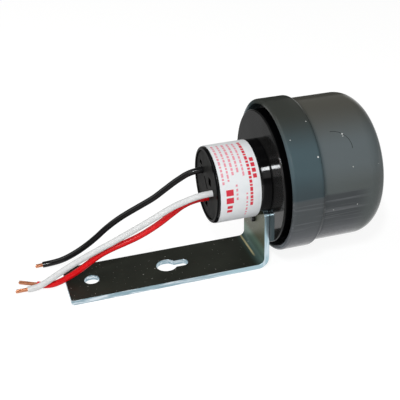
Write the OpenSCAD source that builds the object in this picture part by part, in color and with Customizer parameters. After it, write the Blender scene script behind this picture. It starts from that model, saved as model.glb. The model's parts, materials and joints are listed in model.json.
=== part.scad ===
// Twist-lock photocell switch, plugged into a three-wire receptacle on an L-shaped steel bracket.
// Millimetres. The bracket's foot lies flat on z = 0, and the origin is the centre of its fixing
// hole on the underside. +X runs along the stem towards the cap, +Z is up.

/* [Bracket] */
// Width of the steel strip
strip_w = 35; // [32:0.5:38]
// Thickness of the steel strip
strip_t = 3; // [2:0.25:4]
// Length of the foot, from its free end to the upright's rear face
foot_l = 113; // [95:1:140]
// Inside radius of the bend
bend_r = 3.5; // [2:0.5:5]
// Corner radius at the foot's free end
foot_corner_r = 1.5; // [0.5:0.5:5]
// Diameter of the fixing hole
fix_d = 8.5; // [5:0.25:10]
// Centre of the fixing hole from the foot's free end
fix_inset = 14.6; // [10:0.1:20]
// Diameter of the keyhole's round end
key_d = 12; // [9:0.5:14]
// Width of the keyhole's slot
key_slot_w = 6.4; // [4:0.2:7.4]
// Centre of the keyhole's round end from the fixing hole
key_pitch = 44.2; // [32:0.1:52]
// Reach of the keyhole's slot, between the centres of its two ends
key_reach = 9.7; // [8:0.1:14]
// Height of the stem's axis above the foot's underside
axis_h = 51.3; // [48:0.1:60]
// Depth by which the upright's top reaches into the stem
upright_lap = 6.4; // [5.6:0.1:7]
// Rounding of the upright's top corners
upright_corner_r = 3; // [1:0.5:6]

/* [Receptacle] */
// Diameter of the stem
stem_d = 44; // [39:0.5:49]
// Length of the stem behind the upright
stem_l = 29; // [26:0.5:40]
// Rounding of the stem's rear edge
stem_edge_r = 1.2; // [0.4:0.2:1.6]
// Width of the rim that surrounds the rear cap
stem_rim_w = 2.2; // [1.8:0.1:3]
// Thickness of the rear cap
rear_cap_t = 3; // [2:0.25:5]
// Depth of the rear cap's face below the stem's rear rim
rear_cap_sink = 0.6; // [0.2:0.1:1.5]
// Gap between the flange's edge and the collar's bore
flange_gap = 2.7; // [2:0.1:5]
// Thickness of the flange
flange_t = 8; // [6:0.5:10]
// Rounding of the flange's edges
flange_edge_r = 0.7; // [0.3:0.1:1.5]
// Distance of the clamping screws' axes inside the stem's surface
clamp_inset = 3; // [2.8:0.1:3.2]
// Diameter of the clamping screws
clamp_d = 3; // [2.5:0.1:3.2]
// Length of the clamping screws
clamp_l = 18; // [15:0.5:20]
// Length of the label along the stem
label_l = 24.3; // [16:0.1:24.5]
// Bare stem between the label and the upright's rear face
label_gap = 3; // [2:0.1:6]
// Thickness of the label
label_t = 0.15; // [0.1:0.05:0.3]

/* [Blades and contacts] */
// Depth of the blades' ring inside the stem's surface
blade_inset = 8; // [7.8:0.1:8.5]
// Thickness of a blade
blade_t = 1.4; // [1:0.1:1.6]
// Arc that a blade's shank covers, in degrees
blade_arc = 18; // [14:1:22]
// Turn between locked and free, in degrees
twist_arc = 20; // [15:1:24]
// Length of a blade's hook behind the flange
hook_l = 7; // [5:0.5:9]
// Thickness of a contact's spring leaves
leaf_t = 0.6; // [0.4:0.1:0.8]
// Length of a contact's crimped barrel
barrel_l = 6; // [4:0.5:8]

/* [Cover] */
// Diameter of the collar
collar_d = 87.5; // [78:0.5:100]
// Thickness of the collar's wall
collar_wall = 2.8; // [2:0.1:3.4]
// Step from the collar down to the cap at the shoulder
cap_step = 2.2; // [1:0.1:3]
// Thickness of the cap's wall
cap_wall = 1.8; // [1.4:0.1:2.4]
// Length of the cover, from its rim to the top of its crown
cover_l = 60.2; // [50:0.2:70]
// Length of the curved shoulder between collar and cap
shoulder_l = 3.6; // [3:0.2:8]
// Radius that rounds the cap's front edge
front_r = 12; // [6:0.5:14]
// Radius of the gently crowned front
crown_r = 320; // [200:10:600]
// Length of the flange that shows behind the cover's rim
flange_show = 3.3; // [2:0.1:5]

/* [Base and inner parts] */
// Thickness of the sealing gasket
gasket_t = 2.9; // [2:0.1:4]
// Width of the gasket's ring
gasket_w = 12; // [8:0.5:14]
// Thickness of the base plate
base_t = 3; // [2.5:0.25:4]
// Height of the base's raised rim, from the plate's rear face
base_rim_t = 5; // [4.5:0.25:7]
// Height of the posts that carry the circuit board
post_h = 10; // [8:0.5:14]
// Diameter of the circuit board
board_d = 62; // [58:0.5:68]
// Thickness of the circuit board
board_t = 1.6; // [1:0.1:2]

/* [Leads] */
// Diameter of an insulated lead
lead_d = 3.6; // [3:0.1:3.7]
// Diameter of a stripped conductor
strand_d = 2.2; // [1.6:0.1:2.6]
// Length of the black lead's stripped end
black_strip_l = 4.4; // [3:0.2:12]
// Length of the white lead's stripped end
white_strip_l = 7; // [3:0.2:12]
// Length of the red lead's stripped end
red_strip_l = 11.6; // [3:0.2:14]

/* [Hidden] */
$fn = 96;

// Clearances: parts that seat, parts that turn past each other, and a leaf beside its blade
seat_gap = 0.1;
turn_gap = 0.4;
grip_gap = 0.3;
// Overcut of a tool that leaves the material
past = 1;

// Bracket
foot_x0 = -fix_inset;
upright_x = foot_l - fix_inset;
upright_v0 = strip_t + bend_r - axis_h;

// Levels along the stem, from the upright's rear face
stem_h0 = -stem_l;
rear_cap_h0 = stem_h0 + rear_cap_sink;
rear_cap_h1 = rear_cap_h0 + rear_cap_t;
flange_h0 = strip_t;
flange_h1 = flange_h0 + flange_t;
gasket_h0 = flange_h1 + seat_gap;
base_h0 = gasket_h0 + gasket_t;
base_h1 = base_h0 + base_t;
base_rim_h1 = base_h0 + base_rim_t;
board_h0 = base_h1 + post_h;
board_h1 = board_h0 + board_t;
rim_h = flange_h0 + flange_show;
ledge_t = 3.6;
collar_h1 = base_rim_h1 + ledge_t;
cap_h0 = collar_h1 + shoulder_l;

// Radii about the stem
stem_r = stem_d / 2;
rear_cap_r = stem_r - stem_rim_w;
glue_t = 0.02;
clamp_r = stem_r - clamp_inset;
blade_r = stem_r - blade_inset;
blade_in = blade_r - blade_t / 2;
blade_out = blade_r + blade_t / 2;
contact_in = blade_in - grip_gap - leaf_t;
contact_out = blade_out + grip_gap + leaf_t;
collar_r = collar_d / 2;
collar_in = collar_r - collar_wall;
cap_r = collar_r - cap_step;
flange_r = collar_in - flange_gap;
base_r = collar_in - seat_gap;

// Clamping screws: two through the upright's top and one above the stem's axis
clamp_lean = 72;
clamp_angles = [-clamp_lean, 180 + clamp_lean, 90];
clamp_head_d = 2 * clamp_d;
clamp_head_h = (clamp_head_d - clamp_d) / 2;
clamp_slot = [0.8, 0.7];
cradle_wall = 0.8;
cradle_r = contact_out + seat_gap + cradle_wall;
upright_corner_u = strip_w / 2 - upright_corner_r;
upright_corner_v = upright_lap - stem_r - upright_corner_r;

// Screw that holds the upright to the flange, below the stem
brace_d = 2.8;
brace_head_d = 5;
brace_head_h = 1.8;
brace_bite = 5;
brace_gap = 2;
brace_v = -(stem_r + brace_gap + brace_head_d / 2);

// Blades and contacts
blade_a0 = 40;
blade_angles = [for (k = [0:2]) blade_a0 + 120 * k];
hook_h1 = flange_h0 - turn_gap;
blade_tip_h = hook_h1 - hook_l + seat_gap;
tip_room = 1.5;
web_h1 = blade_tip_h - tip_room;
web_h0 = web_h1 - leaf_t;
barrel_h0 = web_h0 - barrel_l;
leaf_h1 = flange_h0 - turn_gap;
slot_play = 2;
tail_half = 9;
tail_inset = 0.1;
barrel_r = 1.6;
stake_w = 1.8;
stake_t = 1.2;
stake_play = 1;
solder_half = 4;
solder_show = 0.8;

// Ports of the leads in the rear cap, across and up from the axis: line, neutral, load
ports = [[8, 5.7], [-9.5, -0.8], [-1.5, -7.3]];
port_gap = 0.25;
port_r = lead_d / 2 + port_gap;
// Recesses moulded in the rear cap: centre, size and turn
cap_recesses = [
    [[10.4, 9.6], [3.6, 2], 0], [[1.8, -12.6], [3.8, 2.6], 0],
    [[-5.6, 4.4], [4, 4.2], 0], [[1.6, 0.6], [1.3, 7.6], -40]];
cap_recess_depth = 1.6;

// Board, its posts and what stands on it
post_r = 3.2;
post_ring = 26;
post_angles = [100, 220, 340];
board_screw_d = 2.2;
board_screw_l = 7;
board_head_d = 4.4;
board_head_h = 1.6;
pin_d = 0.8;
relay_size = [19, 15.4, 15.2];
relay_at = [9, -1.5];
relay_round = 0.8;
varistor_d = 14;
varistor_t = 4.6;
varistor_at = [-14, -11];
capacitor_size = [18, 7.5, 13];
capacitor_at = [-2, 17];
sensor_d = 9;
sensor_t = 3;
sensor_at = [-20, 6];
stand_off = 3;

// Free runs of the leads, as [reach, across, height]: reach from the fixing hole towards the stem, and
// height above the surface that the foot lies on. They are drawn for a stem that ends at route_reach,
// a foot that ends at -route_inset, an axis at route_axis_h and a strip of route_strip_t.
route_reach = 69.4;
route_inset = 14.6;
route_axis_h = 51.3;
route_strip_t = 3;
black_run = [[63, 9, 55.8], [56, 10.5, 51.8], [49, 12, 46.6], [42, 13, 41.6], [35, 14.5, 37.4],
    [28, 16, 33.4], [21, 17.5, 29], [14, 19, 23.6], [7, 20.5, 17.2], [0, 22, 11.6], [-7, 23, 7.4],
    [-13, 24.4, 4.4], [-18.5, 26, 2.6], [-24.4, 26.6, 2]];
white_run = [[62, -9, 49.8], [55, -8, 47.6], [48, -7, 44.8], [41, -6, 41], [34, -5, 37],
    [27, -4, 33.2], [20, -3, 29.6], [13, -2.4, 26.2], [6, -1.6, 23], [-1, -0.8, 19.6], [-8, 0, 16],
    [-15, 0.8, 12], [-22, 1.6, 7.8], [-25.5, 2, 5.6], [-28.5, 2.5, 3.9], [-31, 3, 2.8],
    [-33.5, 3.5, 2.2], [-35.8, 3.8, 2]];
red_run = [[63, -1.4, 43.6], [56, -1.2, 41.6], [49, -0.9, 37.3], [42, -0.6, 32.6], [35, -0.3, 28.6],
    [28, 0, 25.4], [21, 0.3, 23], [14, 0.6, 20.8], [7, 0.9, 18], [0, 1.3, 13.8], [-7, 1.8, 9.2],
    [-13, 2.2, 6], [-18, 2.6, 3.8], [-22.5, 3.4, 2.5], [-26.5, 5, 2], [-30, 7, 2]];
rest_gap = 0.2;
lead_rest = lead_d / 2 + rest_gap;
tube_sides = 8;

// Stem frame: u across (+Y), v up (+Z), h along the stem (+X) from the upright's rear face
module on_axis() {
    translate([upright_x, 0, axis_h]) rotate([0, 90, 0]) rotate([0, 0, 90]) children();
}

// Disc between two levels of the stem
module disc(r, h0, h1) {
    translate([0, 0, h0]) cylinder(r = r, h = h1 - h0);
}

// Part of a ring between two radii, two levels and two angles
module sector(r0, r1, h0, h1, a0, a1) {
    rotate([0, 0, a0]) rotate_extrude(angle = a1 - a0) translate([r0, h0]) square([r1 - r0, h1 - h0]);
}

// Disc whose edges are rounded at both levels, or at the lower one alone
module rounded_disc(r, h0, h1, edge, both) {
    top = both ? edge : 0;
    rotate_extrude() union() {
        translate([0, h0]) square([r - edge, h1 - h0]);
        translate([0, h0 + edge]) square([r, h1 - h0 - edge - top]);
        translate([r - edge, h0 + edge]) circle(edge);
        if (both) translate([r - edge, h1 - edge]) circle(edge);
    }
}

// Children copied to the clamping screws' axes
module at_clamps() {
    for (a = clamp_angles) rotate([0, 0, a]) translate([clamp_r, 0, 0]) children();
}

// Rounded rectangle about its centre
module rounded_plate(size, r) {
    square([size[0] - 2 * r, size[1]], center = true);
    square([size[0], size[1] - 2 * r], center = true);
    for (sx = [-1, 1], sy = [-1, 1]) translate([sx * (size[0] / 2 - r), sy * (size[1] / 2 - r)]) circle(r);
}

// Bracket: flat foot, bend and upright whose hollowed top carries the stem
module foot_plan() {
    foot_end = upright_x - bend_r;
    difference() {
        union() {
            translate([foot_x0 + foot_corner_r, -strip_w / 2])
                square([foot_end - foot_x0 - foot_corner_r, strip_w]);
            translate([foot_x0, foot_corner_r - strip_w / 2])
                square([2 * foot_corner_r, strip_w - 2 * foot_corner_r]);
            for (s = [-1, 1])
                translate([foot_x0 + foot_corner_r, s * (strip_w / 2 - foot_corner_r)]) circle(foot_corner_r);
        }
        circle(d = fix_d);
        translate([key_pitch, 0]) keyhole();
    }
}

module keyhole() {
    circle(d = key_d);
    translate([0, -key_slot_w / 2]) square([key_reach, key_slot_w]);
    translate([key_reach, 0]) circle(d = key_slot_w);
}

module bend_section() {
    outer = bend_r + strip_t;
    intersection() {
        difference() {
            circle(outer);
            circle(bend_r);
        }
        translate([0, -outer]) square(outer);
    }
}

module upright_outline(gap) {
    difference() {
        union() {
            translate([-strip_w / 2 - gap, upright_v0])
                square([strip_w + 2 * gap, upright_corner_v - upright_v0]);
            translate([-upright_corner_u, upright_corner_v])
                square([2 * upright_corner_u, upright_corner_r + gap]);
            for (s = [-1, 1])
                translate([s * upright_corner_u, upright_corner_v]) circle(upright_corner_r + gap);
        }
        circle(cradle_r - gap);
    }
}

module bracket() {
    color("#8f9389") {
        linear_extrude(strip_t) foot_plan();
        translate([upright_x - bend_r, strip_w / 2, strip_t + bend_r])
            rotate([90, 0, 0]) linear_extrude(strip_w) bend_section();
        on_axis() difference() {
            linear_extrude(strip_t) upright_outline(0);
            at_clamps() disc(clamp_d / 2 + seat_gap, -past, strip_t + past);
            translate([0, brace_v]) disc(brace_d / 2 + seat_gap, -past, strip_t + past);
        }
    }
}

// Pan head that stands on h = 0, with a rounded edge
module pan_head(d, h) {
    edge = h / 2;
    rotate_extrude() union() {
        square([d / 2, h - edge]);
        square([d / 2 - edge, h]);
        intersection() {
            translate([d / 2 - edge, h - edge]) circle(edge);
            square([d, h]);
        }
    }
}

module bracket_screw() {
    color("#6d6f6c") on_axis() translate([0, brace_v]) {
        mirror([0, 0, 1]) pan_head(brace_head_d, brace_head_h);
        disc(brace_d / 2, -brace_head_h / 2, flange_h0 + brace_bite);
    }
}

// Receptacle: stem with pockets for the contacts and a seat for the upright
function contact_a0(k) = blade_angles[k] - twist_arc;
function contact_a1(k) = blade_angles[k] + blade_arc;
function contact_mid(k) = (contact_a0(k) + contact_a1(k)) / 2;
function port_angle(k) = let (a = atan2(ports[k][1], ports[k][0])) a < 0 ? a + 360 : a;
function port_ring(k) = norm(ports[k]);
function tail_a0(k) = min(port_angle(k), contact_mid(k)) - tail_half;
function tail_a1(k) = max(port_angle(k), contact_mid(k)) + tail_half;

module contact_pocket(k) {
    sector(contact_in - seat_gap, contact_out + seat_gap, web_h0 - seat_gap, flange_h0 + past,
        contact_a0(k) - slot_play, contact_a1(k) + twist_arc + slot_play);
    sector(port_ring(k), contact_in + leaf_t, web_h0, web_h1, tail_a0(k) - slot_play, tail_a1(k) + slot_play);
    translate(ports[k]) disc(port_r, rear_cap_h1 - past, web_h1 + tail_inset + seat_gap);
}

module receptacle_body() {
    color("#161616") on_axis() difference() {
        rounded_disc(stem_r, stem_h0, flange_h0, stem_edge_r, false);
        linear_extrude(strip_t + past) upright_outline(seat_gap);
        disc(rear_cap_r + seat_gap, stem_h0 - past, rear_cap_h1);
        for (k = [0:2]) contact_pocket(k);
        at_clamps() disc(clamp_d / 2 + seat_gap / 2, flange_h1 - clamp_l - tip_room, flange_h0 + past);
    }
}

module rear_cap() {
    color("#1f1f1e") on_axis() difference() {
        disc(rear_cap_r, rear_cap_h0, rear_cap_h1);
        for (p = ports) translate(p) disc(port_r, rear_cap_h0 - past, rear_cap_h1 + past);
        for (r = cap_recesses) translate([r[0][0], r[0][1], rear_cap_h0 - past]) rotate([0, 0, r[2]])
            linear_extrude(past + cap_recess_depth) square(r[1], center = true);
    }
}

module receptacle_face() {
    color("#1a1a1b") on_axis() difference() {
        rounded_disc(flange_r, flange_h0, flange_h1, flange_edge_r, true);
        for (a = blade_angles)
            sector(blade_in - turn_gap, blade_out + turn_gap, flange_h0 - past, flange_h1 + past,
                a - slot_play, a + blade_arc + twist_arc + slot_play);
        translate([0, brace_v]) disc(brace_d / 2 + seat_gap / 2, flange_h0 - past, flange_h0 + brace_bite + seat_gap);
        at_clamps() {
            disc(clamp_d / 2 + seat_gap, flange_h0 - past, flange_h1 + past);
            translate([0, 0, flange_h1 - clamp_head_h - seat_gap])
                cylinder(d1 = clamp_d, d2 = clamp_head_d + 2 * seat_gap, h = clamp_head_h + seat_gap);
        }
    }
}

// Spring contact: a channel of two leaves and a web that holds a blade, a tail and a crimped barrel
module contact_section() {
    difference() {
        translate([contact_in, web_h0]) square([contact_out - contact_in, leaf_h1 - web_h0]);
        translate([contact_in + leaf_t, web_h1]) square([contact_out - contact_in - 2 * leaf_t, leaf_h1 - web_h1 + past]);
    }
}

module contact(k) {
    color("#b58f47") on_axis() {
        rotate([0, 0, contact_a0(k)]) rotate_extrude(angle = contact_a1(k) - contact_a0(k)) contact_section();
        sector(port_ring(k), contact_in + leaf_t / 2, web_h0 + tail_inset, web_h1 - tail_inset,
            tail_a0(k), tail_a1(k));
        translate(ports[k]) disc(barrel_r, barrel_h0, web_h1 + tail_inset);
    }
}

module clamp_screws() {
    color("#9a9a95") on_axis() at_clamps() difference() {
        union() {
            disc(clamp_d / 2, flange_h1 - clamp_l, flange_h1);
            translate([0, 0, flange_h1 - clamp_head_h])
                cylinder(d1 = clamp_d, d2 = clamp_head_d, h = clamp_head_h);
        }
        translate([0, 0, flange_h1]) cube([clamp_head_d + past, clamp_slot[0], 2 * clamp_slot[1]], center = true);
    }
}

// Wrapped label, with its seam on the side away from the leads
module label() {
    seam = 10;
    seam_angle = -60;
    color("#f1f1ef") on_axis()
        sector(stem_r + glue_t, stem_r + glue_t + label_t, -label_gap - label_l, -label_gap,
            seam_angle + seam / 2, seam_angle + 360 - seam / 2);
}

// Whole route of a lead: straight from its barrel out of its port, then its free run
function port_point(k, h) = [upright_x + h, ports[k][0], axis_h + ports[k][1]];
function run_point(p) = [
    p[0] > 0 ? p[0] * (upright_x - stem_l) / route_reach : p[0] * fix_inset / route_inset,
    p[1],
    max(lead_rest, strip_t + (p[2] - route_strip_t) * (axis_h - strip_t) / (route_axis_h - route_strip_t))];
function lead_route(k, run) = concat(
    [port_point(k, barrel_h0), port_point(k, (barrel_h0 + stem_h0) / 2), port_point(k, stem_h0)],
    [for (p = run) run_point(p)]);
black_route = lead_route(0, black_run);
white_route = lead_route(1, white_run);
red_route = lead_route(2, red_run);

// Round tube swept along a route, with one ring of corners at each point
function unit(v) = v / norm(v);
function heading(route, i) =
    unit(route[min(i + 1, len(route) - 1)] - route[max(i - 1, 0)]);
function ring(route, i, r) =
    let (t = heading(route, i), side = unit(cross(t, [0, 0, 1])), up = cross(side, t))
    [for (k = [0:tube_sides - 1]) let (a = 360 * (k + 0.5) / tube_sides)
        route[i] + r * (cos(a) * side + sin(a) * up)];

module tube(route, r) {
    rings = len(route);
    n = tube_sides;
    corners = [for (i = [0:rings - 1]) each ring(route, i, r)];
    walls = [for (i = [0:rings - 2], k = [0:n - 1]) let (a = i * n + k, b = i * n + (k + 1) % n)
        each [[a, a + n, b + n], [a, b + n, b]]];
    ends = [[for (k = [0:n - 1]) k], [for (k = [0:n - 1]) rings * n - 1 - k]];
    polyhedron(corners, concat(walls, ends));
}

// Stripped conductor that goes on from the end of a route
module strands(route, length) {
    last = len(route) - 1;
    way = heading(route, last);
    color("#c07a4d") translate(route[last]) rotate([0, acos(way[2]), atan2(way[1], way[0])])
        cylinder(d = strand_d, h = length);
}

// Cover: one moulding with a collar, a curved shoulder and a crowned cap
module cap_form(inset) {
    r = cap_r - inset;
    edge = front_r - inset;
    dome = crown_r - inset;
    dome_h = rim_h + cover_l - crown_r;
    edge_h = dome_h + sqrt(pow(dome - edge, 2) - pow(r - edge, 2));
    lean = atan2(r - edge, edge_h - dome_h);
    translate([0, collar_h1 - ledge_t]) square([r, edge_h - collar_h1 + ledge_t]);
    translate([r - edge, edge_h]) circle(edge);
    intersection() {
        translate([0, dome_h]) circle(dome, $fn = 360);
        polygon([[0, edge_h], [r - edge, edge_h], [r - edge + 2 * edge * sin(lean), edge_h + 2 * edge * cos(lean)],
            [0, edge_h + 2 * edge]]);
    }
}

module shoulder_form() {
    sweep_r = (pow(shoulder_l, 2) + pow(cap_step, 2)) / (4 * cap_step);
    half = shoulder_l / 2;
    intersection() {
        translate([collar_r - sweep_r, collar_h1]) circle(sweep_r);
        translate([cap_r - cap_wall, collar_h1]) square([cap_step + cap_wall, half]);
    }
    difference() {
        translate([cap_r - cap_wall, collar_h1 + half]) square([cap_wall + cap_step / 2, half]);
        translate([cap_r + sweep_r, cap_h0]) circle(sweep_r);
    }
}

module cover_section() {
    lip = 0.7;
    bead = 0.5;
    difference() {
        union() {
            translate([collar_in, rim_h + lip]) square([collar_wall, collar_h1 - rim_h - lip]);
            translate([cap_r - cap_wall, base_rim_h1]) square([cap_step + cap_wall, ledge_t]);
            translate([collar_in + lip, rim_h]) square([collar_wall - 2 * lip, 2 * lip]);
            translate([collar_in + lip, rim_h + lip]) circle(lip);
            translate([collar_r - lip, rim_h + lip]) circle(lip);
            translate([collar_in + seat_gap, base_h0 - seat_gap - bead]) circle(bead);
            shoulder_form();
            cap_form(0);
        }
        intersection() {
            cap_form(cap_wall);
            translate([0, rim_h]) square([cap_r, cover_l]);
        }
        translate([-cap_r, 0]) square([cap_r, 2 * crown_r]);
    }
}

module cover() {
    color("#4b5152") on_axis() rotate_extrude() cover_section();
}

// Base: plate that closes the cover, with a raised rim and posts for the board
module base() {
    rim_w = 3;
    color("#2b2c2d") on_axis() difference() {
        union() {
            disc(base_r, base_h0, base_h1);
            sector(base_r - rim_w, base_r, base_h0, base_rim_h1, 0, 360);
            for (a = post_angles) rotate([0, 0, a]) translate([post_ring, 0, 0]) disc(post_r, base_h0, board_h0);
        }
        for (a = blade_angles)
            sector(blade_in - seat_gap, blade_out + seat_gap, base_h0 - past, base_h1 + past,
                a - slot_play / 4, a + blade_arc + slot_play / 4);
        for (a = post_angles) rotate([0, 0, a]) translate([post_ring, 0, 0])
            disc(board_screw_d / 2 + seat_gap / 2, board_h1 - board_screw_l - past, board_h0 + past);
    }
}

module gasket() {
    outer = flange_r - flange_edge_r - seat_gap;
    color("#3a3a3a") on_axis() difference() {
        disc(outer, gasket_h0, base_h0);
        disc(outer - gasket_w, gasket_h0 - past, base_h0 + past);
    }
}

// Locking blade: one curved strip cut to a shank, a hook and a solder tab, with a staked foot
module blade(k) {
    a = blade_angles[k];
    mid = a + blade_arc / 2;
    top = board_h1 + solder_show;
    cut_in = blade_in - past;
    cut_out = blade_out + past;
    color("#b58f47") on_axis() {
        difference() {
            sector(blade_in, blade_out, blade_tip_h, top, a - twist_arc, a + blade_arc);
            sector(cut_in, cut_out, hook_h1, top + past, a - 2 * twist_arc, a);
            sector(cut_in, cut_out, base_h1 + stake_t, top + past, a - past, mid - solder_half);
            sector(cut_in, cut_out, base_h1 + stake_t, top + past, mid + solder_half, a + blade_arc + past);
        }
        sector(blade_in - stake_w, blade_out + stake_w, base_h1, base_h1 + stake_t / 2, a + stake_play, a + blade_arc - stake_play);
    }
}

module circuit_board() {
    color("#2f6b45") on_axis() difference() {
        disc(board_d / 2, board_h0, board_h1);
        for (a = post_angles) rotate([0, 0, a]) translate([post_ring, 0, 0])
            disc(board_screw_d / 2 + seat_gap, board_h0 - past, board_h1 + past);
        for (a = blade_angles)
            sector(blade_in - seat_gap, blade_out + seat_gap, board_h0 - past, board_h1 + past,
                a + blade_arc / 2 - solder_half - slot_play / 2, a + blade_arc / 2 + solder_half + slot_play / 2);
    }
}

module board_screws() {
    color("#9a9a95") on_axis() for (a = post_angles) rotate([0, 0, a]) translate([post_ring, 0, 0]) {
        disc(board_screw_d / 2, board_h1 - board_screw_l, board_h1 + board_head_h / 2);
        translate([0, 0, board_h1]) pan_head(board_head_d, board_head_h);
    }
}

// Two pins that stand on the board, a pitch apart
module pins(pitch, h) {
    for (s = [-1, 1]) translate([s * pitch / 2, 0, board_h1]) cylinder(d = pin_d, h = h);
}

module relay() {
    color("#d9d6cc") on_axis() translate([relay_at[0], relay_at[1], board_h1])
        linear_extrude(relay_size[2]) rounded_plate(relay_size, relay_round);
}

module varistor() {
    color("#2f62a8") on_axis() translate(varistor_at) {
        translate([0, varistor_t / 2, board_h1 + stand_off + varistor_d / 2])
            rotate([90, 0, 0]) cylinder(d = varistor_d, h = varistor_t);
        pins(varistor_d / 2, stand_off + varistor_d / 4);
    }
}

module capacitor() {
    color("#b8402c") on_axis() translate(capacitor_at) {
        translate([0, 0, board_h1 + stand_off]) linear_extrude(capacitor_size[2])
            rounded_plate(capacitor_size, capacitor_size[1] / 3);
        pins(capacitor_size[0] * 2 / 3, stand_off + past);
    }
}

module light_sensor() {
    color("#d8a04a") on_axis() translate(sensor_at) rotate([0, 0, 90]) {
        translate([0, sensor_t / 2, board_h1 + 2 * stand_off + sensor_d / 2])
            rotate([90, 0, 0]) cylinder(d = sensor_d, h = sensor_t);
        pins(sensor_d / 2, 2 * stand_off + sensor_d / 4);
    }
}

bracket();
bracket_screw();
receptacle_body();
rear_cap();
receptacle_face();
contact(0);  // line_contact
contact(1);  // neutral_contact
contact(2);  // load_contact
clamp_screws();
label();
color("#1b1b1b") tube(black_route, lead_d / 2);  // black_lead
color("#e4e4e2") tube(white_route, lead_d / 2);  // white_lead
color("#c8141c") tube(red_route, lead_d / 2);  // red_lead
strands(black_route, black_strip_l);  // black_strands
strands(white_route, white_strip_l);  // white_strands
strands(red_route, red_strip_l);  // red_strands
cover();
base();
gasket();
blade(0);  // line_blade
blade(1);  // neutral_blade
blade(2);  // load_blade
circuit_board();
board_screws();
relay();
capacitor();
varistor();
light_sensor();
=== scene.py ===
"""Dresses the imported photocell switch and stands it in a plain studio.

Classes hold their sizes in millimetres. Pieces round the stem use its own frame, where u runs across,
v runs up and h runs along the stem from the rear face of the bracket's upright. Meshes are in metres in
the part's frame, with every object at the origin.
"""

from __future__ import annotations

import json
import logging
import math
from dataclasses import dataclass
from enum import Enum
from typing import Any, Sequence

import bmesh
import bpy
from mathutils import Matrix, Vector

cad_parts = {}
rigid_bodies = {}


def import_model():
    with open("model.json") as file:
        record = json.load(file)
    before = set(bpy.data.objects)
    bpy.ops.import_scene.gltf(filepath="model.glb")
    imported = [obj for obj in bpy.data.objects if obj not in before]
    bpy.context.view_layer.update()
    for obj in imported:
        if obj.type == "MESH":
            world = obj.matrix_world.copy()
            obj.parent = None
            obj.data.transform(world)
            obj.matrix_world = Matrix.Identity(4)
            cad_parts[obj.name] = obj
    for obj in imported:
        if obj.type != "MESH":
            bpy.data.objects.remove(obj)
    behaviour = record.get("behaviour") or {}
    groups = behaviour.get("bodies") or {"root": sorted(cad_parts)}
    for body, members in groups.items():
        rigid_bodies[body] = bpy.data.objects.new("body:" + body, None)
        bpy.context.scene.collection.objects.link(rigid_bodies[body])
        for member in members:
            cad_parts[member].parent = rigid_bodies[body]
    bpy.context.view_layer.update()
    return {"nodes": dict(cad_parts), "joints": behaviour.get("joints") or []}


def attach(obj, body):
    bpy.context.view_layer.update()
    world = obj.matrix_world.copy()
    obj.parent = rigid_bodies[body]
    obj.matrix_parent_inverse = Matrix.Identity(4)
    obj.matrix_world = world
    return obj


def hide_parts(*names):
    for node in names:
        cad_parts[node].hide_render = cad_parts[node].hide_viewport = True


LOG = logging.getLogger("photocell_switch")
MM = 0.001
FRAME_PX = 400
UP = Vector((0.0, 0.0, 1.0))
# Points of a plate that are closer than WELD_MM are joined. A radius below POLE_MM is on the axis.
WELD_MM = 1e-4
POLE_MM = 1e-6
EDGE_STEPS = 2

Flat = tuple[float, float]
Point = tuple[float, float, float]
Colour = tuple[float, float, float]
Stops = Sequence[tuple[float, Colour]]
Socket = bpy.types.NodeSocket

WHITE: Colour = (1.0, 1.0, 1.0)


class Body(str, Enum):
    """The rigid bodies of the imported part."""

    RECEPTACLE = "receptacle"
    PHOTOCONTROL = "photocontrol"


@dataclass(frozen=True)
class Grain:
    """A noise: size of its largest features, octaves, share that finer ones keep, and stretch."""

    size_mm: float
    detail: float = 3.0
    rough: float = 0.55
    stretch: Point = (1.0, 1.0, 1.0)


ROLLED = Grain(0.5, 3.0, 0.6, (0.03, 1.0, 1.0))


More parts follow.
